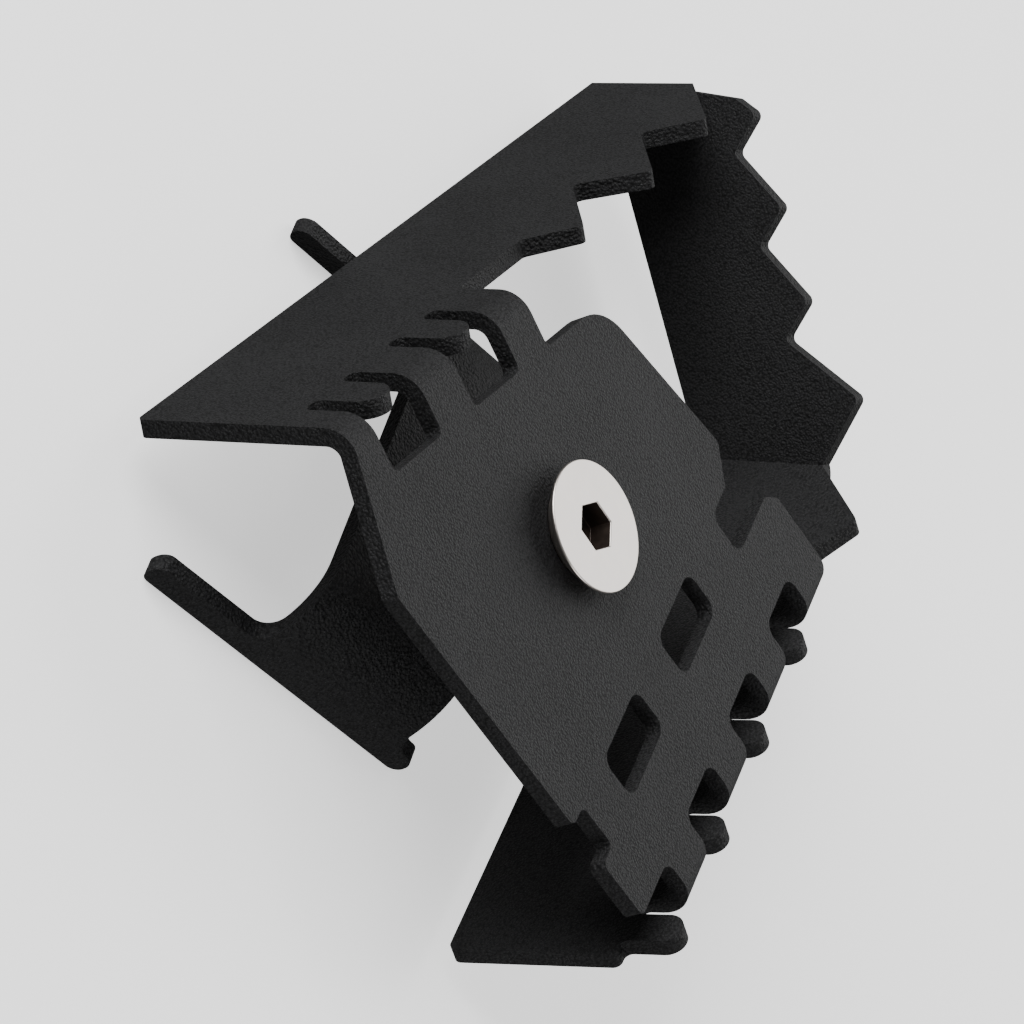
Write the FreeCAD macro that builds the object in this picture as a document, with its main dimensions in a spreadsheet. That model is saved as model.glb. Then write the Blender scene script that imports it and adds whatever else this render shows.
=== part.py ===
"""Bolt-on enlarger plate for a motorcycle foot-brake pedal.

A bent and toothed sheet lies on the pedal pad and a screw draws a saddle-shaped clamp up
underneath it.  +Z is the foot side and runs along the screw, the origin is on the screw axis
in the face of the plate that lies on the pedal, and +X follows the right-hand fold away from
the rider's heel.
"""
import FreeCAD, Part
import math
import os
import Sketcher

V = FreeCAD.Vector

doc = FreeCAD.newDocument("PedalEnlarger")

SIZES = {
    # sheet
    "sheet_thick": 1.7,
    "bend_radius": 3.0,
    "corner_radius": 0.75,
    "window_round": 1.3,
    # treadle: the flat middle of the plate
    "near_edge": 24.4,
    "near_corner": 14.0,
    "near_notch": 21.9,
    "far_edge": 22.5,
    "far_slant": 7.0,
    "far_round": 5.5,
    "far_notch": 16.4,
    "far_mouth": 20.6,
    "far_lip": 24.6,
    "far_end": 26.1,
    "land_edge": 14.8,
    "window_length": 9.2,
    "window_width": 4.7,
    "window_pitch": 15.7,
    "window_place": 4.2,
    "window_side": 15.15,
    # left wall, folded down along the left ridge
    "left_ridge": 20.4,
    "left_yaw": 17.1,
    "left_fold": 71.4,
    "left_near": 23.85,
    "left_reach": 66.0,
    "left_depth": 20.5,
    "left_front": 6.2,
    "left_window": 8.4,
    "left_window_pitch": 14.2,
    "left_window_place": 1.9,
    "left_window_in": 5.7,
    "left_slit": 2.1,
    "left_slit_root": 6.0,
    "left_tab_top": 0.4,
    "left_land_end": 7.6,
    "left_tooth_first": 23.4,
    "left_tooth_pitch": 14.2,
    "left_tooth_steep": 4.0,
    "left_tooth_top": 1.8,
    "left_tooth_base": 8.2,
    "left_last_drop": 1.3,
    # right wall, folded down along the right ridge
    "right_ridge": 30.5,
    "right_fold": 108.4,
    "right_depth": 22.0,
    "right_notch": 7.1,
    "right_notch_pitch": 12.6,
    "right_notch_place": 16.8,
    "right_notch_in": 6.7,
    "right_slit_root": 6.0,
    "right_tab": 3.3,
    "right_tab_top": 0.8,
    "right_tooth": 34.0,
    "right_tooth_top": 0.4,
    "right_fold_place": 42.1,
    "right_back_slant": 11.5,
    "right_back_bend": 30.0,
    "right_reach": 50.0,
    # end wall, turned inwards from the right wall
    "end_yaw": 54.4,
    "end_lean": 6.1,
    "end_depth": 12.45,
    "end_reach": 44.0,
    "end_big_tooth_place": 5.1,
    "end_big_tooth_rise": 5.5,
    "end_tooth_first": 15.5,
    "end_tooth_pitch": 9.3,
    "end_tooth_steep": 2.9,
    "end_tooth_rise": 3.0,
    "end_valley_drop": 0.4,
    "end_tip_run": 2.1,
    "end_tip_drop": 1.7,
    "end_slope": 54.0,
    "end_drop": 6.2,
    # clamp screw, M6 countersunk with a hexagon socket
    "screw_diameter": 6.0,
    "screw_length": 25.0,
    "screw_head": 12.0,
    "screw_rim": 0.3,
    "screw_proud": 1.8,
    "socket_flats": 4.0,
    "socket_deep": 2.3,
    "socket_turn": 27.1,
    "screw_point": 0.6,
    "seat_gap": 0.08,
    # clamp saddle
    "pedal_gap": 12.5,
    "saddle_near": 15.2,
    "saddle_far": 28.4,
    "saddle_height": 8.9,
    "saddle_bend": 8.5,
    "saddle_yaw": 16.5,
    "saddle_skew": 10.9,
    "prong_shift": 6.85,
    "waist_shift": 1.8,
    "prong_span": 34.5,
    "prong_height": 2.4,
    "waist_width": 18.1,
    "waist_round": 1.9,
    "ear_radius": 8.6,
    "saddle_hole": 6.6,
    # weld nut under the saddle
    "nut_flats": 10.0,
    "nut_thick": 5.0,
    "nut_gap": 0.06,
}

sheet = doc.addObject("Spreadsheet::Sheet", "Sizes")
for row, (alias, value) in enumerate(SIZES.items(), start=1):
    sheet.set("A%d" % row, alias)
    sheet.set("B%d" % row, str(value))
    sheet.setAlias("B%d" % row, alias)
doc.recompute()

TEETH_LEFT = 3
TEETH_END = 3
NOTCHES = 4
LEFT_WINDOWS = 2
TREADLE_WINDOWS = 2
TOUCH = 0.01


def size(alias):
    return float(sheet.get(alias))


def cells(text):
    """Turn {alias} into a reference to that cell of the sheet."""
    return text.replace("{", "Sizes.").replace("}", "")


def new_body(label):
    body = doc.addObject("PartDesign::Body", label)
    body.Label = label
    return body


def origin_plane(body, role):
    return [item for item in body.Origin.OriginFeatures if item.Role == role][0]


def new_sketch(body, name, place=("0", "0", "0"), turn=("0", "0", "0")):
    """A sketch in the frame that place (x, y, z) and turn (yaw, pitch, roll) give it."""
    sketch = body.newObject("Sketcher::SketchObject", name)
    sketch.AttachmentSupport = (origin_plane(body, "XY_Plane"), [""])
    sketch.MapMode = "FlatFace"
    where = "create(<<vector>>; %s; %s; %s)" % place
    how = "create(<<rotation>>; %s; %s; %s)" % turn
    sketch.setExpression("AttachmentOffset", cells("create(<<placement>>; %s; %s)" % (where, how)))
    return sketch


def bind(sketch, constraint, expression):
    index = sketch.addConstraint(constraint)
    sketch.setExpression("Constraints[%d]" % index, cells(expression))


def value_of(expression):
    """The number that an expression gives now, so that a sketch starts near its final shape."""
    return float(sheet.evalExpression(cells(expression)))


def outline(sketch, corners):
    """A closed polygon whose corners are (x, y) expressions."""
    spots = [V(value_of(x), value_of(y), 0) for x, y in corners]
    first = sketch.GeometryCount
    count = len(corners)
    for k in range(count):
        sketch.addGeometry(Part.LineSegment(spots[k], spots[(k + 1) % count]), False)
    for k in range(count):
        after = first + (k + 1) % count
        sketch.addConstraint(Sketcher.Constraint("Coincident", first + k, 2, after, 1))
    for k, (x, y) in enumerate(corners):
        bind(sketch, Sketcher.Constraint("DistanceX", first + k, 1, spots[k].x), x)
        bind(sketch, Sketcher.Constraint("DistanceY", first + k, 1, spots[k].y), y)


def circle(sketch, radius, x="0", y="0"):
    centre = V(value_of(x), value_of(y), 0)
    index = sketch.addGeometry(Part.Circle(centre, V(0, 0, 1), value_of(radius)), False)
    bind(sketch, Sketcher.Constraint("DistanceX", index, 3, centre.x), x)
    bind(sketch, Sketcher.Constraint("DistanceY", index, 3, centre.y), y)
    bind(sketch, Sketcher.Constraint("Radius", index, value_of(radius)), radius)


def add(body, kind, name, profile, **settings):
    """A sketched feature; settings that are text are expressions."""
    feature = body.newObject("PartDesign::" + kind, name)
    feature.Profile = profile
    for key, setting in settings.items():
        if isinstance(setting, str):
            feature.setExpression(key, cells(setting))
        else:
            setattr(feature, key, setting)
    doc.recompute()
    return feature


def revolve(body, kind, name, profile, axis, **settings):
    feature = body.newObject("PartDesign::" + kind, name)
    feature.Profile = profile
    feature.ReferenceAxis = (profile, [axis])
    for key, setting in settings.items():
        if isinstance(setting, str):
            feature.setExpression(key, cells(setting))
        else:
            setattr(feature, key, setting)
    doc.recompute()
    return feature


def rectangle(sketch, x_low, x_high, y_low, y_high):
    outline(sketch, [(x_low, y_low), (x_high, y_low), (x_high, y_high), (x_low, y_high)])


# ---------------------------------------------------------------- places that several features share

LEFT_BEND = "({left_ridge}-{bend_radius}*tan({left_fold}/2))"
LEFT_TANGENT = "({bend_radius}*tan({left_fold}/2))"
RIGHT_BEND = "({right_ridge}-{bend_radius}*tan({right_fold}/2))"
RIGHT_TANGENT = "({bend_radius}*tan({right_fold}/2))"
BEND_AXIS = "{sheet_thick}-{bend_radius}"
END_X = "{right_fold_place}"
END_Y = "(-{right_ridge}-{end_drop}*cos({right_fold})+{sheet_thick}*sin({right_fold}))"
END_Z = "({sheet_thick}-{end_drop}*sin({right_fold})-{sheet_thick}*cos({right_fold}))"
END_TURN = ("{end_yaw}", "0", "{end_lean}-90")
FLANK = "(({left_tooth_base}-{left_tooth_top})/({left_tooth_pitch}-{left_tooth_steep}))"


def left_xy(along, out):
    """Plan place of a point given along and square to the left ridge."""
    x = "(%s)*cos({left_yaw})+(%s)*sin({left_yaw})" % (along, out)
    y = "(%s)*cos({left_yaw})-(%s)*sin({left_yaw})" % (out, along)
    return (x, y)


def left_window(k):
    """Middle of the left wall's window k, along the ridge; 0 is the far one."""
    return "(-{left_window_place}-%d*{left_window_pitch})" % k


def right_notch(k):
    return "({right_notch_place}-%d*{right_notch_pitch})" % k


# ---------------------------------------------------------------- plate

plate = new_body("pedal_plate")


def treadle_corners():
    inner = "{left_ridge}-{left_window_in}"
    corners = [left_xy("-{left_near}", LEFT_BEND)]
    for k in reversed(range(LEFT_WINDOWS)):
        low = left_window(k) + "-{left_window}/2"
        high = left_window(k) + "+{left_window}/2"
        corners += [left_xy(low, LEFT_BEND), left_xy(low, inner)]
        corners += [left_xy(high, inner), left_xy(high, LEFT_BEND)]
    corners += [left_xy("{left_land_end}", LEFT_BEND), left_xy("{left_land_end}", "{land_edge}")]
    hump = "(({land_edge}-{far_edge}*sin({left_yaw}))/(cos({left_yaw})-tan({far_slant})*sin({left_yaw})))"
    corners.append(("{far_edge}-%s*tan({far_slant})" % hump, hump))
    upper = "(-{window_side}+{window_width}/2)"
    lower = "(-{window_side}-{window_width}/2)"
    mouth = "(%s+3)" % upper
    corners.append(("{far_edge}-%s*tan({far_slant})" % mouth, mouth))
    corners += [("{far_mouth}", upper), ("{far_notch}", upper)]
    corners += [("{far_notch}", lower), ("{far_lip}", lower)]
    corners += [("{far_end}", "%s-({far_end}-{far_lip})" % lower), ("{far_end}", "-" + RIGHT_BEND)]
    root = "{right_notch_in}-{right_ridge}"
    for k in range(NOTCHES - 1):
        high = right_notch(k) + "+{right_notch}/2"
        low = right_notch(k) + "-{right_notch}/2"
        corners += [(high, "-" + RIGHT_BEND), (high, root), (low, root), (low, "-" + RIGHT_BEND)]
    last = right_notch(NOTCHES - 1) + "+{right_notch}/2"
    corners += [(last, "-" + RIGHT_BEND), (last, root), ("-{near_edge}", root)]
    corners += [("-{near_edge}", lower), ("-{near_notch}", lower)]
    corners += [("-{near_notch}", upper), ("-{near_edge}", upper)]
    corners.append(("-{near_edge}", "{near_corner}"))
    return corners


treadle = new_sketch(plate, "treadle_outline")
outline(treadle, treadle_corners())
for k in range(TREADLE_WINDOWS):
    middle = "({window_place}-%d*{window_pitch})" % k
    rectangle(
        treadle,
        middle + "-{window_length}/2",
        middle + "+{window_length}/2",
        "-{window_side}-{window_width}/2",
        "-{window_side}+{window_width}/2",
    )
add(plate, "Pad", "treadle", treadle, Length="{sheet_thick}")

# bends: the strips of sheet between the windows, turned about the bend's axis
right_strips = new_sketch(plate, "right_strips", ("0", "-" + RIGHT_BEND, "0"), ("0", "0", "90"))
for k in range(NOTCHES):
    low = right_notch(k) + "+{right_notch}/2"
    high = "{far_end}" if k == 0 else right_notch(k - 1) + "-{right_notch}/2"
    rectangle(right_strips, low, high, "0", "{sheet_thick}")
axis_line = Part.LineSegment(V(-20, value_of(BEND_AXIS), 0), V(20, value_of(BEND_AXIS), 0))
axis = right_strips.addGeometry(axis_line, True)
right_strips.addConstraint(Sketcher.Constraint("Horizontal", axis))
bind(right_strips, Sketcher.Constraint("DistanceY", axis, 1, value_of(BEND_AXIS)), BEND_AXIS)
revolve(plate, "Revolution", "right_bend", right_strips, "Axis0", Angle="{right_fold}", Reversed=False)

right_wall = new_sketch(
    plate, "right_wall_outline", ("0", "-{right_ridge}", "{sheet_thick}"), ("0", "0", "{right_fold}-180")
)


def right_wall_corners():
    corners = [("-{near_edge}", "{right_depth}"), ("-{near_edge}", "{right_slit_root}")]
    for k in reversed(range(NOTCHES)):
        middle = right_notch(k)
        corners += [(middle + "-{right_tab}/2", "{right_slit_root}"), (middle + "-{right_tab}/2", "{right_tab_top}")]
        corners += [(middle + "+{right_tab}/2", "{right_tab_top}"), (middle + "+{right_tab}/2", "{right_slit_root}")]
        corners += [(middle + "+{right_notch}/2", "{right_slit_root}"), (middle + "+{right_notch}/2", RIGHT_TANGENT)]
        if k > 0:
            end = right_notch(k - 1) + "-{right_notch}/2"
            corners += [(end, RIGHT_TANGENT), (end, "{right_slit_root}")]
    corners += [("{far_end}", RIGHT_TANGENT), ("{far_end}", "{right_slit_root}")]
    corners.append(("{right_tooth}", "{right_tooth_top}"))
    corners += [("{right_fold_place}", "{end_drop}"), ("{right_reach}", "{end_drop}")]
    corners.append(("{right_reach}", "{right_depth}-({right_reach}-{right_back_bend})*tan({right_back_slant})"))
    corners.append(("{right_back_bend}", "{right_depth}"))
    return corners


outline(right_wall, right_wall_corners())
add(plate, "Pad", "right_wall", right_wall, Length="{sheet_thick}")

left_strips = new_sketch(
    plate,
    "left_strips",
    left_xy("0", LEFT_BEND) + ("0",),
    ("-{left_yaw}", "0", "90"),
)
strips = [(left_window(0) + "+{left_window}/2", "{left_land_end}")]
for k in range(1, LEFT_WINDOWS):
    strips.append((left_window(k) + "+{left_window}/2", left_window(k - 1) + "-{left_window}/2"))
strips.append(("-{left_near}", left_window(LEFT_WINDOWS - 1) + "-{left_window}/2"))
for low, high in strips:
    rectangle(left_strips, low, high, "0", "{sheet_thick}")
axis = left_strips.addGeometry(axis_line, True)
left_strips.addConstraint(Sketcher.Constraint("Horizontal", axis))
bind(left_strips, Sketcher.Constraint("DistanceY", axis, 1, value_of(BEND_AXIS)), BEND_AXIS)
revolve(plate, "Revolution", "left_bend", left_strips, "Axis0", Angle="{left_fold}", Reversed=True)

left_wall = new_sketch(
    plate,
    "left_wall_outline",
    left_xy("0", "{left_ridge}") + ("{sheet_thick}",),
    ("-{left_yaw}", "0", "-{left_fold}"),
)


def left_wall_corners():
    corners = [("-{left_near}", "{left_depth}"), ("-{left_near}", LEFT_TANGENT)]
    for k in reversed(range(LEFT_WINDOWS)):
        low = left_window(k) + "-{left_window}/2"
        high = left_window(k) + "+{left_window}/2"
        corners += [(low, LEFT_TANGENT), (low, "{left_slit_root}")]
        corners += [(low + "+{left_slit}", "{left_slit_root}"), (low + "+{left_slit}", "{left_tab_top}")]
        corners += [(high + "-{left_slit}", "{left_tab_top}"), (high + "-{left_slit}", "{left_slit_root}")]
        corners += [(high, "{left_slit_root}"), (high, LEFT_TANGENT)]
    corners += [("{left_land_end}", LEFT_TANGENT), ("{left_land_end}", "{left_front}")]
    corners.append(("{left_tooth_first}-{left_tooth_steep}", "{left_front}"))
    for k in range(TEETH_LEFT):
        tip = "({left_tooth_first}+%d*{left_tooth_pitch})" % k
        if k > 0:
            corners.append((tip + "-{left_tooth_steep}", "{left_tooth_base}"))
        drop = "+{left_last_drop}" if k == TEETH_LEFT - 1 else ""
        corners.append((tip, "{left_tooth_top}" + drop))
    past = "{left_tooth_top}+{left_last_drop}+({left_reach}-%s)*%s" % (tip, FLANK)
    corners += [("{left_reach}", past), ("{left_reach}", "{left_depth}")]
    return corners


outline(left_wall, left_wall_corners())
add(plate, "Pad", "left_wall", left_wall, Length="{sheet_thick}", Reversed=True)

# both walls are cut off along the outer face of the end wall, which is then laid between them
END_OUTER = (
    "%s+{sheet_thick}*sin({end_yaw})*cos({end_lean})" % END_X,
    "%s-{sheet_thick}*cos({end_yaw})*cos({end_lean})" % END_Y,
    "%s-{sheet_thick}*sin({end_lean})" % END_Z,
)
end_trim = new_sketch(plate, "end_trim_outline", END_OUTER, END_TURN)
rectangle(end_trim, "-{end_reach}", "2*{end_reach}", "-{end_reach}", "{end_reach}")
add(plate, "Pocket", "end_trim", end_trim, Length="{end_reach}")

end_wall = new_sketch(plate, "end_wall_outline", (END_X, END_Y, END_Z), END_TURN)


def end_wall_corners():
    corners = [("-{end_drop}", "{end_depth}"), ("-{end_drop}", "0"), ("0", "0")]
    corners.append(("{end_big_tooth_place}", "-{end_big_tooth_rise}"))
    for k in range(TEETH_END):
        tip = "({end_tooth_first}+%d*{end_tooth_pitch})" % k
        corners += [(tip + "-{end_tooth_steep}", "{end_valley_drop}"), (tip, "-{end_tooth_rise}")]
    step = tip + "+{end_tip_run}"
    corners.append((step, "{end_tip_drop}-{end_tooth_rise}"))
    last = "{end_tip_drop}-{end_tooth_rise}+({end_reach}-%s)*tan({end_slope})" % step
    corners += [("{end_reach}", last), ("{end_reach}", "{end_depth}")]
    return corners


outline(end_wall, end_wall_corners())
add(plate, "Pad", "end_wall", end_wall, Length="{sheet_thick}", Reversed=True)

right_trim = new_sketch(
    plate, "right_trim_outline", ("0", "-{right_ridge}", "{sheet_thick}"), ("0", "0", "{right_fold}-180")
)
rectangle(right_trim, "{right_tooth}", "2*{right_reach}", "-{right_depth}", "2*{right_depth}")
add(plate, "Pocket", "right_trim", right_trim, Length="{end_reach}")

left_trim = new_sketch(
    plate,
    "left_trim_outline",
    left_xy("0", "{left_ridge}") + ("{sheet_thick}",),
    ("-{left_yaw}", "0", "-{left_fold}"),
)
rectangle(left_trim, "{left_tooth_first}", "2*{left_reach}", "-{left_depth}", "2*{left_depth}")
add(plate, "Pocket", "left_trim", left_trim, Length="{end_reach}", Reversed=True)

# seat for the screw: a cone for the underside of the head, running out into a short bore
CONE_END = "({sheet_thick}+{screw_proud}-{screw_rim}-({screw_head}-{screw_diameter})/2)"
seat = new_sketch(plate, "seat_outline", ("0", "0", "0"), ("0", "0", "90"))
outline(
    seat,
    [
        ("0", "-1"),
        ("{screw_diameter}/2+{nut_gap}", "-1"),
        ("{screw_diameter}/2+{nut_gap}", CONE_END + "+{nut_gap}-{seat_gap}*1.414"),
        ("{screw_diameter}/2+{seat_gap}*1.414+({sheet_thick}+1-%s)" % CONE_END, "{sheet_thick}+1"),
        ("0", "{sheet_thick}+1"),
    ],
)
revolve(plate, "Groove", "screw_seat", seat, "V_Axis", Angle="360")


# ---------------------------------------------------------------- rounded corners of the plate


def straight_edges(shape, direction, turn):
    """Number and middle of each straight edge along direction where the faces meet at more than turn."""
    found = []
    for number, edge in enumerate(shape.Edges, start=1):
        if edge.Curve.TypeId != "Part::GeomLine":
            continue
        if abs(edge.Curve.Direction.dot(direction)) < 0.9999:
            continue
        middle = edge.CenterOfMass
        normals = []
        for face in shape.ancestorsOfType(edge, Part.Face):
            normals.append(face.normalAt(*face.Surface.parameter(middle)))
        if len(normals) == 2 and math.degrees(normals[0].getAngle(normals[1])) > turn:
            found.append((number, middle, edge.Length))
    return found


def corners_of(sketch, keep):
    """Corner edges of the sheet that runs in the sketch's plane, kept by their place in the sketch."""
    frame = sketch.Placement
    normal = frame.Rotation.multVec(V(0, 0, 1))
    names = []
    for number, middle, length in straight_edges(plate.Shape, normal, 18):
        place = frame.inverse().multVec(middle)
        if abs(length - size("sheet_thick")) < TOUCH and abs(place.z) < size("sheet_thick") and keep(place):
            names.append("Edge%d" % number)
    return names


def round_off(name, radius, names):
    before = plate.Tip
    fillet = plate.newObject("PartDesign::Fillet", name)
    fillet.Base = (before, names)
    fillet.setExpression("Radius", cells(radius))
    doc.recompute()
    return fillet


fold_line = end_wall.Placement.Rotation.multVec(V(0, 0, 1)).cross(
    right_wall.Placement.Rotation.multVec(V(0, 0, 1))
)
fold_line.normalize()
outermost = min(straight_edges(plate.Shape, fold_line, 30), key=lambda item: item[1].y)
round_off("end_fold", "{bend_radius}-0.5", ["Edge%d" % outermost[0]])

tab = size("right_tab_top") + TOUCH
mouth = size("right_tooth") - size("right_tab")
round_off("right_tabs", "{right_tab}/2-0.05", corners_of(right_wall, lambda p: p.y < tab and p.x < mouth))
tab = size("left_tab_top") + TOUCH
round_off("left_tabs", "({left_window}-2*{left_slit})/2-0.05", corners_of(left_wall, lambda p: p.y < tab))
round_off(
    "far_hump",
    "{far_round}",
    corners_of(treadle, lambda p: p.x > size("far_notch") and 0 < p.y < size("land_edge")),
)
round_off(
    "treadle_windows",
    "{window_round}",
    corners_of(
        treadle,
        lambda p: p.y < size("window_width") - size("window_side") and abs(p.x) < size("far_mouth"),
    ),
)
round_off("treadle_corners", "{corner_radius}", corners_of(treadle, lambda p: True))
round_off("right_corners", "{corner_radius}", corners_of(right_wall, lambda p: True))
round_off("left_corners", "{corner_radius}", corners_of(left_wall, lambda p: p.x < size("left_reach") - 8))
round_off("end_corners", "{corner_radius}", corners_of(end_wall, lambda p: 2 < p.x < 36))


# ---------------------------------------------------------------- screw

HEAD_TOP = "({sheet_thick}+{screw_proud})"


def hexagon(sketch, flats, turn):
    corners = []
    for k in range(6):
        angle = "(%s+%d)" % (turn, 60 * k)
        corners.append(("%s/sqrt(3)*cos(%s)" % (flats, angle), "%s/sqrt(3)*sin(%s)" % (flats, angle)))
    outline(sketch, corners)


screw = new_body("clamp_screw")
screw_side = new_sketch(screw, "screw_side", ("0", "0", "0"), ("0", "0", "90"))
outline(
    screw_side,
    [
        ("0", HEAD_TOP),
        ("{screw_head}/2", HEAD_TOP),
        ("{screw_head}/2", HEAD_TOP + "-{screw_rim}"),
        ("{screw_diameter}/2", CONE_END),
        ("{screw_diameter}/2", HEAD_TOP + "-{screw_length}+{screw_point}"),
        ("{screw_diameter}/2-{screw_point}", HEAD_TOP + "-{screw_length}"),
        ("0", HEAD_TOP + "-{screw_length}"),
    ],
)
revolve(screw, "Revolution", "screw_turned", screw_side, "V_Axis", Angle="360")
socket = new_sketch(screw, "socket_outline", ("0", "0", HEAD_TOP))
hexagon(socket, "{socket_flats}", "{socket_turn}")
add(screw, "Pocket", "socket", socket, Length="{socket_deep}")

# ---------------------------------------------------------------- saddle and its nut

SADDLE_TOP = "(-{pedal_gap})"
SADDLE_FOOT = "(-{pedal_gap}-{saddle_height})"
SADDLE_MIDDLE = "(({saddle_far}-{saddle_near})/2)"

saddle = new_body("clamp_bracket")
saddle_side = new_sketch(
    saddle,
    "saddle_side",
    ("-{prong_span}*sin({saddle_yaw})", "{prong_span}*cos({saddle_yaw})", "0"),
    ("{saddle_yaw}", "0", "90"),
)
outline(
    saddle_side,
    [
        ("-{saddle_near}", SADDLE_FOOT),
        ("-{saddle_near}", SADDLE_TOP),
        ("{saddle_far}", SADDLE_TOP),
        ("{saddle_far}", SADDLE_FOOT),
        ("{saddle_far}-{sheet_thick}", SADDLE_FOOT),
        ("{saddle_far}-{sheet_thick}", SADDLE_TOP + "-{sheet_thick}"),
        ("-{saddle_near}+{sheet_thick}", SADDLE_TOP + "-{sheet_thick}"),
        ("-{saddle_near}+{sheet_thick}", SADDLE_FOOT),
    ],
)
add(saddle, "Pad", "saddle_strip", saddle_side, Length="2*{prong_span}")


def round_saddle(name, radius, names):
    before = saddle.Tip
    fillet = saddle.newObject("PartDesign::Fillet", name)
    fillet.Base = (before, names)
    fillet.setExpression("Radius", cells(radius))
    doc.recompute()


def long_edges(low, high):
    """The saddle's long edges whose height lies between low and high."""
    names = []
    for number, edge in enumerate(saddle.Shape.Edges, start=1):
        if edge.Length > 1.9 * size("prong_span") and low < edge.CenterOfMass.z < high:
            names.append("Edge%d" % number)
    return names


top = -size("pedal_gap")
sheet_low = top - size("sheet_thick")
round_saddle("saddle_bend_out", "{saddle_bend}", long_edges(top - TOUCH, top + TOUCH))
inner_edges = long_edges(sheet_low - TOUCH, sheet_low + TOUCH)
round_saddle("saddle_bend_in", "{saddle_bend}-{sheet_thick}", inner_edges)


def band(name, height, shift, width, deep, upwards):
    """Cut away all of the saddle that lies outside a slanted band of the given width."""
    sketch = new_sketch(saddle, name + "_outline", ("0", "0", height), ("{saddle_yaw}", "0", "0"))
    rectangle(sketch, "-2*{saddle_far}", "2*{saddle_far}", "-2*{prong_span}", "2*{prong_span}")
    corners = []
    for n, side in (
        ("(-1.5*{saddle_far})", "-"),
        ("(1.5*{saddle_far})", "-"),
        ("(1.5*{saddle_far})", "+"),
        ("(-1.5*{saddle_far})", "+"),
    ):
        corners.append((n, "%s-(%s-%s)*tan({saddle_skew})%s%s/2" % (shift, n, SADDLE_MIDDLE, side, width)))
    outline(sketch, corners)
    add(saddle, "Pocket", name, sketch, Length=deep, Reversed=upwards)


band("prong_ends", "0", "{prong_shift}", "{prong_span}", "2*{screw_length}", False)
band("waist", SADDLE_FOOT + "+{prong_height}", "{waist_shift}", "{waist_width}", "{screw_length}", True)

ear = new_sketch(saddle, "ear_outline", ("0", "0", SADDLE_TOP))
circle(ear, "{ear_radius}")
add(saddle, "Pad", "ear", ear, Length="{sheet_thick}", Reversed=True)

slant = V(math.cos(math.radians(size("saddle_yaw"))), math.sin(math.radians(size("saddle_yaw"))), 0)
slant = slant - V(-slant.y, slant.x, 0) * math.tan(math.radians(size("saddle_skew")))
slant.normalize()
prong_top = top - size("saddle_height") + size("prong_height")
yaw = math.radians(size("saddle_yaw"))
middle_n = (size("saddle_far") - size("saddle_near")) / 2


def band_edges(shift, width):
    """The saddle's low edges that lie in the two sides of a slanted band."""
    names = []
    for number, middle, length in straight_edges(saddle.Shape, slant, 30):
        n = middle.x * math.cos(yaw) + middle.y * math.sin(yaw)
        y = middle.y * math.cos(yaw) - middle.x * math.sin(yaw)
        out = abs(y - size(shift) + (n - middle_n) * math.tan(math.radians(size("saddle_skew"))))
        if middle.z < prong_top + TOUCH and abs(out - size(width) / 2) < TOUCH:
            names.append("Edge%d" % number)
    return names


round_saddle("waist_roots", "{waist_round}", band_edges("waist_shift", "waist_width"))
round_saddle("prong_tips", "{prong_height}/2-0.1", band_edges("prong_shift", "prong_span"))

hole = new_sketch(saddle, "saddle_hole_outline", ("0", "0", "0"))
circle(hole, "{saddle_hole}/2")
add(saddle, "Pocket", "saddle_hole", hole, Length="{screw_length}")

nut = new_body("clamp_nut")
nut_outline = new_sketch(nut, "nut_outline", ("0", "0", SADDLE_TOP + "-{sheet_thick}"))
hexagon(nut_outline, "{nut_flats}", "{socket_turn}")
circle(nut_outline, "{screw_diameter}/2+{nut_gap}")
add(nut, "Pad", "nut_prism", nut_outline, Length="{nut_thick}", Reversed=True)

# ---------------------------------------------------------------- checks and files

doc.recompute()
for item in doc.Objects:
    if "Invalid" in item.State or "Error" in item.State:
        raise RuntimeError("%s could not be made" % item.Name)

os.makedirs("parts", exist_ok=True)
for body in (plate, screw, saddle, nut):
    shape = body.Shape
    if shape.isNull() or not shape.isValid() or len(shape.Solids) != 1:
        raise RuntimeError("%s is not one sound solid" % body.Label)
    shape.exportStep("parts/%s.step" % body.Label)
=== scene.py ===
"""Looks for a bolt-on brake-pedal enlarger: black coated sheet, stainless screw, pale stage."""
import math

import bpy
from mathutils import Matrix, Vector


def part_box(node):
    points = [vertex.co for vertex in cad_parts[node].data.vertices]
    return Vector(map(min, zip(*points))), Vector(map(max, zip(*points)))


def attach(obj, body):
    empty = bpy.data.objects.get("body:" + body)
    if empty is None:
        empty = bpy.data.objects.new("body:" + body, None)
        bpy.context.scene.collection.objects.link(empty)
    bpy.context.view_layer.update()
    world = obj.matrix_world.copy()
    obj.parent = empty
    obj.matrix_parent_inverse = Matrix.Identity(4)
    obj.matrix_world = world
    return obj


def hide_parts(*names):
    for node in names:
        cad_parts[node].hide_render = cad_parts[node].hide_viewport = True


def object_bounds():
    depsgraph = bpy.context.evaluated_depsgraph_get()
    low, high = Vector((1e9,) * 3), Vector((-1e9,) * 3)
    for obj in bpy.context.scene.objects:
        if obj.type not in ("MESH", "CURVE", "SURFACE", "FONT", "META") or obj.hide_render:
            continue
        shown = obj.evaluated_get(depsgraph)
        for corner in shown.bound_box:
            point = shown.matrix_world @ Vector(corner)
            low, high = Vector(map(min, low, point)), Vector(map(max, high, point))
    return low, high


bl_info = {
    "name": "Brake pedal enlarger",
    "version": (1, 0, 0),
    "blender": (4, 5, 0),
    "location": "View3D > Sidebar > Pedal",
    "description": "Rounds, coats and stages a bolt-on brake-pedal enlarger plate",
    "category": "Object",
}

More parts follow.
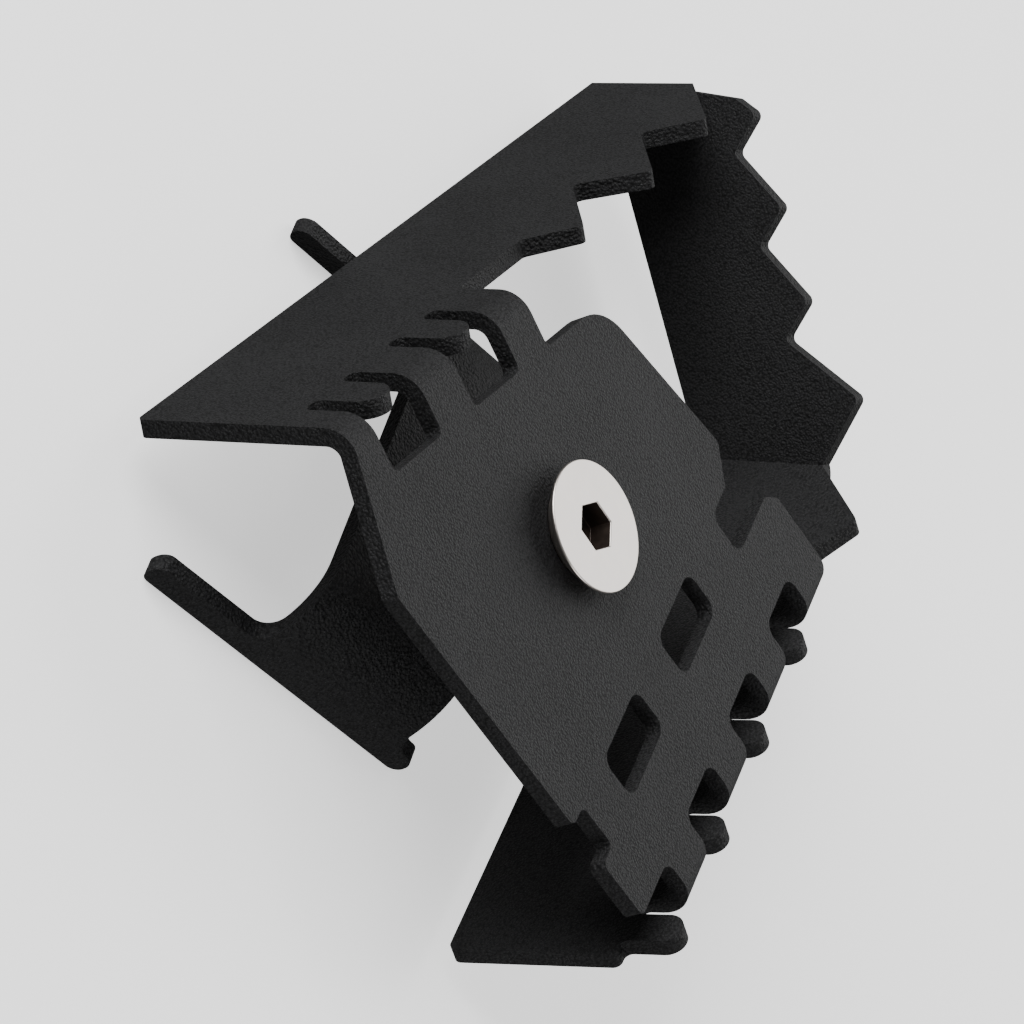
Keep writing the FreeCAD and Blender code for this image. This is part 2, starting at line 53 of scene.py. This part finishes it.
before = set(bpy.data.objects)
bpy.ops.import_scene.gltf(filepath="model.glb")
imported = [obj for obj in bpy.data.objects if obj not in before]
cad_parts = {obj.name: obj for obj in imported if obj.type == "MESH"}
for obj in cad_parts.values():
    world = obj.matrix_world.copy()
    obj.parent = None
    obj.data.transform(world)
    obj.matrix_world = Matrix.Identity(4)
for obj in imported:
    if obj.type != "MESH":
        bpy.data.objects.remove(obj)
CAD_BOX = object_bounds()

MM = 0.001
SHEET = 1.7 * MM

# faces larger than this are the sheet's own, not cut edges
LARGE_FACE = 60 * MM * MM
SAME_WAY = 0.999

# the socket's walls and floor lie within this reach of the screw's axis and this far under its top
SOCKET_REACH = 2.36 * MM
SOCKET_HIGH = 0.15 * MM
SOCKET_LOW = 3 * MM

# name, place, side and power of each soft light
LAMPS = (
    ("side softbox", (0.05, 0.7, 0.4), 0.6, 10.0),
    ("rear softbox", (0.55, -0.33, 0.46), 0.8, 5.0),
    ("low fill", (-0.6, -0.4, 0.05), 0.4, 3.0),
)
ROOM_LIGHT = 0.22

CAMERA_PLACE = (-0.30478, 0.18714, 0.24803)
CAMERA_TURN = (23.265, -51.092, -59.932)
CAMERA_LENS = 175.787


# ---------------------------------------------------------------- sizes and colours


class PedalSizes(bpy.types.PropertyGroup):
    """Sizes that a user would change."""

    edge_round: bpy.props.FloatProperty(
        name="Coated edge rounding",
        description="Width of the rounding on each cut edge of the sheet",
        default=0.3 * MM,
        unit="LENGTH",
    )
    fine_round: bpy.props.FloatProperty(
        name="Machined edge rounding",
        description="How far the screw's and the nut's edges are broken",
        default=0.12 * MM,
        unit="LENGTH",
    )
    grain: bpy.props.FloatProperty(
        name="Coat grain",
        description="Size of one grain of the powder coat",
        default=0.22 * MM,
        unit="LENGTH",
    )
    floor_side: bpy.props.FloatProperty(
        name="Floor side",
        description="Side of the pale floor",
        default=6.0,
        unit="LENGTH",
    )


class PedalColours(bpy.types.PropertyGroup):
    """Colours that a user would change."""

    coat: bpy.props.FloatVectorProperty(
        name="Coat",
        description="Black powder coat",
        default=(0.0115, 0.0115, 0.012),
        size=3,
        subtype="COLOR",
    )
    # colour of the flecks: painted highlight, a lighter coat that stands in for glints
    painted_glint_flecks: bpy.props.FloatVectorProperty(
        name="Painted glint fleck colour",
        description="Lighter coat for the flecks that stand in for glints, a painted highlight",
        default=(0.018, 0.018, 0.0185),
        size=3,
        subtype="COLOR",
    )
    steel: bpy.props.FloatVectorProperty(
        name="Screw steel",
        description="Satin stainless steel of the screw",
        default=(0.62, 0.58, 0.545),
        size=3,
        subtype="COLOR",
    )
    # the socket colour is painted shade: the recess is drawn dark in its colour
    socket: bpy.props.FloatVectorProperty(
        name="Socket",
        description="Dark inside of the hexagon socket, painted shade in the recess",
        default=(0.045, 0.033, 0.027),
        size=3,
        subtype="COLOR",
    )
    floor: bpy.props.FloatVectorProperty(
        name="Floor",
        description="Pale matt floor",
        default=(0.9, 0.9, 0.9),
        size=3,
        subtype="COLOR",
    )


def sizes():
    return bpy.context.scene.pedal_sizes


def colours():
    return bpy.context.scene.pedal_colours


# ---------------------------------------------------------------- node helpers


def rgba(colour):
    return (colour[0], colour[1], colour[2], 1.0)


def new_material(name):
    material = bpy.data.materials.new(name)
    material.use_nodes = True
    nodes = material.node_tree.nodes
    shader = nodes["Principled BSDF"]
    return material, nodes, material.node_tree.links, shader


def add_node(nodes, kind, label, **settings):
    node = nodes.new(kind)
    node.label = label
    for key, setting in settings.items():
        if key in node.inputs:
            node.inputs[key].default_value = setting
        else:
            setattr(node, key, setting)
    return node


def shades(nodes, label, colour, dark, light):
    """A mix from a darker to a lighter shade of one colour."""
    tone = add_node(nodes, "ShaderNodeMix", label, data_type="RGBA")
    tone.inputs["A"].default_value = rgba([dark * c for c in colour])
    tone.inputs["B"].default_value = rgba([light * c for c in colour])
    return tone


def noise(nodes, links, place, label, **settings):
    """Noise that lies on the piece's own coordinates."""
    node = add_node(nodes, "ShaderNodeTexNoise", label, **settings)
    links.new(place.outputs["Object"], node.inputs["Vector"])
    return node


def powder_coat_group():
    """Node group: grain height, mask of the glints and mottled tone of a powder coat."""
    group = bpy.data.node_groups.get("Powder coat")
    if group:
        return group
    group = bpy.data.node_groups.new("Powder coat", "ShaderNodeTree")
    group.interface.new_socket("Grain size", in_out="INPUT", socket_type="NodeSocketFloat")
    for output in ("Height", "Speckle", "Cloud"):
        group.interface.new_socket(output, in_out="OUTPUT", socket_type="NodeSocketFloat")
    nodes, links = group.nodes, group.links
    entry = nodes.new("NodeGroupInput")
    leave = nodes.new("NodeGroupOutput")
    place = add_node(nodes, "ShaderNodeTexCoord", "Place")
    per_metre = add_node(nodes, "ShaderNodeMath", "Grains per metre", operation="DIVIDE")
    per_metre.inputs[0].default_value = 1.0
    links.new(entry.outputs["Grain size"], per_metre.inputs[1])
    grain = noise(nodes, links, place, "Grain", Detail=3.0, Roughness=0.65)
    links.new(per_metre.outputs[0], grain.inputs["Scale"])
    pebble = add_node(nodes, "ShaderNodeTexVoronoi", "Pebbles", feature="SMOOTH_F1", Smoothness=0.6)
    links.new(place.outputs["Object"], pebble.inputs["Vector"])
    links.new(per_metre.outputs[0], pebble.inputs["Scale"])
    height = add_node(nodes, "ShaderNodeMath", "Grain and pebbles", operation="SUBTRACT")
    links.new(grain.outputs["Fac"], height.inputs[0])
    links.new(pebble.outputs["Distance"], height.inputs[1])
    links.new(height.outputs[0], leave.inputs["Height"])
    glint = noise(nodes, links, place, "Glints", Detail=2.0, Roughness=0.7)
    finer = add_node(nodes, "ShaderNodeMath", "Finer", operation="MULTIPLY")
    finer.inputs[1].default_value = 1.7
    links.new(per_metre.outputs[0], finer.inputs[0])
    links.new(finer.outputs[0], glint.inputs["Scale"])
    speck = add_node(nodes, "ShaderNodeMapRange", "Only the highest")
    speck.inputs["From Min"].default_value = 0.58
    speck.inputs["From Max"].default_value = 0.70
    links.new(glint.outputs["Fac"], speck.inputs["Value"])
    links.new(speck.outputs["Result"], leave.inputs["Speckle"])
    cloud = noise(nodes, links, place, "Coat thickness", Scale=90.0, Detail=4.0, Roughness=0.55)
    pits = add_node(nodes, "ShaderNodeMath", "Grain in the tone", operation="MULTIPLY_ADD")
    links.new(height.outputs[0], pits.inputs[0])
    pits.inputs[1].default_value = 2.4
    links.new(cloud.outputs["Fac"], pits.inputs[2])
    links.new(pits.outputs[0], leave.inputs["Cloud"])
    return group


def coat_material(name, grain, bump, flecks=0.12, tint=1.0):
    """Fine-textured black powder coat; its lighter flecks in the base colour are painted highlight
    standing in for glints, and the glints are also smoother.
    """
    material, nodes, links, shader = new_material(name)
    coat = nodes.new("ShaderNodeGroup")
    coat.node_tree = powder_coat_group()
    coat.inputs["Grain size"].default_value = grain
    tone = shades(nodes, "Coat tone", colours().coat, 0.45 * tint, 1.5 * tint)
    links.new(coat.outputs["Cloud"], tone.inputs["Factor"])
    # painted highlight: lighter flecks where the glint mask is highest stand in for glints
    flecked = add_node(nodes, "ShaderNodeMix", "Painted glint flecks", data_type="RGBA")
    flecked.inputs["B"].default_value = rgba([4.0 * c for c in colours().painted_glint_flecks])
    thin = add_node(nodes, "ShaderNodeMath", "Sparse flecks", operation="MULTIPLY")
    thin.inputs[1].default_value = flecks
    links.new(coat.outputs["Speckle"], thin.inputs[0])
    links.new(thin.outputs[0], flecked.inputs["Factor"])
    links.new(tone.outputs["Result"], flecked.inputs["A"])
    links.new(flecked.outputs["Result"], shader.inputs["Base Color"])
    rough = add_node(nodes, "ShaderNodeMapRange", "Glints are smoother")
    rough.inputs["To Min"].default_value = 0.62
    rough.inputs["To Max"].default_value = 0.36
    links.new(coat.outputs["Speckle"], rough.inputs["Value"])
    links.new(rough.outputs["Result"], shader.inputs["Roughness"])
    shader.inputs["Specular IOR Level"].default_value = 0.22
    relief = add_node(nodes, "ShaderNodeBump", "Coat relief", Strength=bump, Distance=0.25 * MM)
    links.new(coat.outputs["Height"], relief.inputs["Height"])
    links.new(relief.outputs["Normal"], shader.inputs["Normal"])
    return material


def cut_edge_material(name):
    """The same coat, coarser, on the edges that the cutter left, painted lighter and with more flecks:
    painted highlight on the cut and rounded edges.
    """
    return coat_material(name, 1.25 * sizes().grain, 0.8, 0.3, 1.1)


def steel_material():
    """Satin stainless steel with turning marks round the screw's axis."""
    material, nodes, links, shader = new_material("Satin stainless")
    place = add_node(nodes, "ShaderNodeTexCoord", "Place")
    parts = add_node(nodes, "ShaderNodeSeparateXYZ", "Parts")
    links.new(place.outputs["Object"], parts.inputs["Vector"])
    across = add_node(nodes, "ShaderNodeCombineXYZ", "In plan")
    links.new(parts.outputs["X"], across.inputs["X"])
    links.new(parts.outputs["Y"], across.inputs["Y"])
    radius = add_node(nodes, "ShaderNodeVectorMath", "Distance from the axis", operation="LENGTH")
    links.new(across.outputs["Vector"], radius.inputs[0])
    ring = add_node(nodes, "ShaderNodeCombineXYZ", "Ring place")
    links.new(radius.outputs["Value"], ring.inputs["X"])
    links.new(parts.outputs["Z"], ring.inputs["Y"])
    marks = add_node(nodes, "ShaderNodeTexNoise", "Turning marks", Scale=9000.0, Detail=3.0, Roughness=0.7)
    links.new(ring.outputs["Vector"], marks.inputs["Vector"])
    stain = noise(nodes, links, place, "Handling", Scale=420.0, Detail=5.0, Roughness=0.6)
    tone = shades(nodes, "Steel tone", colours().steel, 0.9, 1.12)
    links.new(stain.outputs["Fac"], tone.inputs["Factor"])
    links.new(tone.outputs["Result"], shader.inputs["Base Color"])
    rough = add_node(nodes, "ShaderNodeMapRange", "Satin")
    rough.inputs["To Min"].default_value = 0.26
    rough.inputs["To Max"].default_value = 0.42
    links.new(stain.outputs["Fac"], rough.inputs["Value"])
    links.new(rough.outputs["Result"], shader.inputs["Roughness"])
    shader.inputs["Metallic"].default_value = 1.0
    relief = add_node(nodes, "ShaderNodeBump", "Mark depth", Strength=0.12, Distance=0.01 * MM)
    links.new(marks.outputs["Fac"], relief.inputs["Height"])
    links.new(relief.outputs["Normal"], shader.inputs["Normal"])
    return material


def socket_material():
    """Dark inside of the hexagon socket: painted shade in the recess."""
    material, nodes, links, shader = new_material("Socket painted shade")
    place = add_node(nodes, "ShaderNodeTexCoord", "Place")
    film = noise(nodes, links, place, "Socket shade mottle", Scale=1500.0, Detail=4.0)
    tone = shades(nodes, "Socket shade tone", colours().socket, 0.4, 1.8)
    links.new(film.outputs["Fac"], tone.inputs["Factor"])
    links.new(tone.outputs["Result"], shader.inputs["Base Color"])
    shader.inputs["Metallic"].default_value = 0.6
    shader.inputs["Roughness"].default_value = 0.38
    return material


def floor_material():
    """Pale matt floor with a very faint mottle."""
    material, nodes, links, shader = new_material("Pale floor")
    place = add_node(nodes, "ShaderNodeTexCoord", "Place")
    mottle = noise(nodes, links, place, "Mottle", Scale=3.0, Detail=2.0)
    tone = shades(nodes, "Floor tone", colours().floor, 0.99, 1.01)
    links.new(mottle.outputs["Fac"], tone.inputs["Factor"])
    links.new(tone.outputs["Result"], shader.inputs["Base Color"])
    shader.inputs["Roughness"].default_value = 0.9
    shader.inputs["Specular IOR Level"].default_value = 0.1
    shader.inputs["Emission Color"].default_value = (1.0, 1.0, 1.0, 1.0)
    shader.inputs["Emission Strength"].default_value = 0.9
    return material


# ---------------------------------------------------------------- mesh helpers


def select_only(piece):
    bpy.ops.object.select_all(action="DESELECT")
    piece.select_set(True)
    bpy.context.view_layer.objects.active = piece


def copy_of(node, name):
    """A merged copy of a CAD node's mesh, with its flat faces in one piece each."""
    piece = bpy.data.objects.new(name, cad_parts[node].data.copy())
    bpy.context.scene.collection.objects.link(piece)
    piece.data.materials.clear()
    select_only(piece)
    bpy.ops.object.mode_set(mode="EDIT")
    bpy.ops.mesh.select_all(action="SELECT")
    bpy.ops.mesh.remove_doubles(threshold=0.002 * MM)
    bpy.ops.mesh.dissolve_limited(angle_limit=math.radians(0.5))
    bpy.ops.mesh.select_all(action="DESELECT")
    bpy.ops.object.mode_set(mode="OBJECT")
    return piece


def mark_cut_faces(piece):
    """Give the second material to the narrow faces that the cutter left, not to the sheet's own faces.

    A cut face looks another way than every large face, and at least two of its edges run straight
    through the sheet."""
    mesh = piece.data
    large = []
    for face in mesh.polygons:
        if face.area > LARGE_FACE and all(abs(face.normal.dot(n)) < SAME_WAY for n in large):
            large.append(face.normal.copy())
    for face in mesh.polygons:
        flat = any(abs(face.normal.dot(n)) > SAME_WAY for n in large)
        lengths = [(mesh.vertices[a].co - mesh.vertices[b].co).length for a, b in face.edge_keys]
        through = [length for length in lengths if abs(length - SHEET) < 0.02 * MM]
        if not flat and len(through) >= 2:
            face.material_index = 1


def round_edges(piece, width, segments, angle, cut_coat=False):
    """Bevel the sharp edges, the cut ones with the second material, and keep flat faces flat."""
    bevel = piece.modifiers.new("Edge rounding", "BEVEL")
    bevel.width = width
    bevel.segments = segments
    bevel.limit_method = "ANGLE"
    bevel.angle_limit = math.radians(angle)
    bevel.use_clamp_overlap = True
    # the rounded edges take the second material, the lighter copy of the coat: painted highlight on the
    # edges
    bevel.material = 1 if cut_coat else 0
    select_only(piece)
    if cut_coat:
        mark_cut_faces(piece)
    bpy.ops.object.modifier_apply(modifier=bevel.name)
    bpy.ops.object.shade_smooth_by_angle(angle=math.radians(40))
    level = piece.modifiers.new("Flat faces stay flat", "WEIGHTED_NORMAL")
    level.mode = "FACE_AREA"
    level.weight = 80
    level.keep_sharp = True
    bpy.ops.object.modifier_apply(modifier=level.name)


class PEDAL_OT_plate(bpy.types.Operator):
    """Round the cut edges of the bent plate and coat it"""

    bl_idname = "pedal.plate"
    bl_label = "Plate"

    def execute(self, context):
        piece = copy_of("pedal_plate", "plate_coated")
        piece.data.materials.append(coat_material("Plate coat", sizes().grain, 0.45))
        piece.data.materials.append(cut_edge_material("Plate cut edge"))
        round_edges(piece, sizes().edge_round, 3, 28, cut_coat=True)
        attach(piece, "plate")
        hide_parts("pedal_plate")
        return {"FINISHED"}


class PEDAL_OT_saddle(bpy.types.Operator):
    """Round the cut edges of the clamp saddle and coat it"""

    bl_idname = "pedal.saddle"
    bl_label = "Clamp saddle"

    def execute(self, context):
        piece = copy_of("clamp_bracket", "saddle_coated")
        piece.data.materials.append(coat_material("Saddle coat", 1.3 * sizes().grain, 0.75, 0.25))
        piece.data.materials.append(cut_edge_material("Saddle cut edge"))
        round_edges(piece, sizes().edge_round, 3, 28, cut_coat=True)
        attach(piece, "clamp")
        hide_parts("clamp_bracket")
        return {"FINISHED"}


class PEDAL_OT_screw(bpy.types.Operator):
    """Break the screw's edges and finish its face and its socket"""

    bl_idname = "pedal.screw"
    bl_label = "Clamp screw"

    def execute(self, context):
        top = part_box("clamp_screw")[1][2]
        piece = copy_of("clamp_screw", "screw_satin")
        piece.data.materials.append(steel_material())
        piece.data.materials.append(socket_material())
        round_edges(piece, sizes().fine_round, 2, 30)
        # the socket's walls and floor take the dark socket material: painted shade in the recess
        for face in piece.data.polygons:
            away = math.hypot(face.center.x, face.center.y)
            if away < SOCKET_REACH and top - SOCKET_LOW < face.center.z < top - SOCKET_HIGH:
                face.material_index = 1
        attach(piece, "screw")
        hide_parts("clamp_screw")
        return {"FINISHED"}


class PEDAL_OT_nut(bpy.types.Operator):
    """Break the edges of the weld nut and coat it"""

    bl_idname = "pedal.nut"
    bl_label = "Weld nut"

    def execute(self, context):
        piece = copy_of("clamp_nut", "nut_coated")
        piece.data.materials.append(coat_material("Nut coat", sizes().grain, 0.4))
        round_edges(piece, 2 * sizes().fine_round, 2, 30)
        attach(piece, "clamp")
        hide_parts("clamp_nut")
        return {"FINISHED"}


def soft_light(name, place, target, side, power):
    """A square light that looks at the target."""
    data = bpy.data.lights.new(name, "AREA")
    data.shape = "SQUARE"
    data.size = side
    data.energy = power
    lamp = bpy.data.objects.new(name, data)
    bpy.context.scene.collection.objects.link(lamp)
    lamp.location = place
    lamp.rotation_euler = (Vector(target) - Vector(place)).to_track_quat("-Z", "Y").to_euler()


class PEDAL_OT_stage(bpy.types.Operator):
    """Lay the pale floor, hang the soft lights and set up the camera"""

    bl_idname = "pedal.stage"
    bl_label = "Stage"

    def execute(self, context):
        low, high = CAD_BOX
        middle = [(a + b) / 2 for a, b in zip(low, high)]
        bpy.ops.object.select_all(action="DESELECT")
        bpy.ops.mesh.primitive_plane_add(size=sizes().floor_side, location=(0, 0, low[2]))
        floor = context.active_object
        floor.name = "floor"
        floor.data.materials.append(floor_material())
        floor.visible_diffuse = False
        floor.visible_glossy = False

        world = bpy.data.worlds.new("Soft room")
        world.use_nodes = True
        room = world.node_tree.nodes["Background"]
        room.inputs["Color"].default_value = (1.0, 1.0, 1.0, 1.0)
        room.inputs["Strength"].default_value = ROOM_LIGHT
        context.scene.world = world

        for name, place, side, power in LAMPS:
            soft_light(name, place, middle, side, power)

        data = bpy.data.cameras.new("camera")
        data.sensor_width = 36.0
        data.lens = CAMERA_LENS
        data.clip_start = 0.01
        data.clip_end = 20.0
        camera = bpy.data.objects.new("camera", data)
        context.scene.collection.objects.link(camera)
        camera.location = CAMERA_PLACE
        camera.rotation_euler = [math.radians(a) for a in CAMERA_TURN]
        context.scene.camera = camera
        return {"FINISHED"}


class PEDAL_PT_panel(bpy.types.Panel):
    """Lists the pedal enlarger's pieces and its stage"""

    bl_idname = "PEDAL_PT_panel"
    bl_label = "Brake pedal enlarger"
    bl_space_type = "VIEW_3D"
    bl_region_type = "UI"
    bl_category = "Pedal"

    def draw(self, context):
        for group in (context.scene.pedal_sizes, context.scene.pedal_colours):
            for name in group.__annotations__:
                self.layout.prop(group, name)
        for operator in OPERATORS:
            self.layout.operator(operator.bl_idname)


OPERATORS = (PEDAL_OT_plate, PEDAL_OT_saddle, PEDAL_OT_screw, PEDAL_OT_nut, PEDAL_OT_stage)
CLASSES = (PedalSizes, PedalColours) + OPERATORS + (PEDAL_PT_panel,)


def register():
    for item in CLASSES:
        bpy.utils.register_class(item)
    bpy.types.Scene.pedal_sizes = bpy.props.PointerProperty(type=PedalSizes)
    bpy.types.Scene.pedal_colours = bpy.props.PointerProperty(type=PedalColours)


def unregister():
    del bpy.types.Scene.pedal_sizes
    del bpy.types.Scene.pedal_colours
    for item in reversed(CLASSES):
        bpy.utils.unregister_class(item)


def main():
    register()
    bpy.ops.pedal.plate()
    bpy.ops.pedal.saddle()
    bpy.ops.pedal.screw()
    bpy.ops.pedal.nut()
    bpy.ops.pedal.stage()


if __name__ == "__main__":
    main()
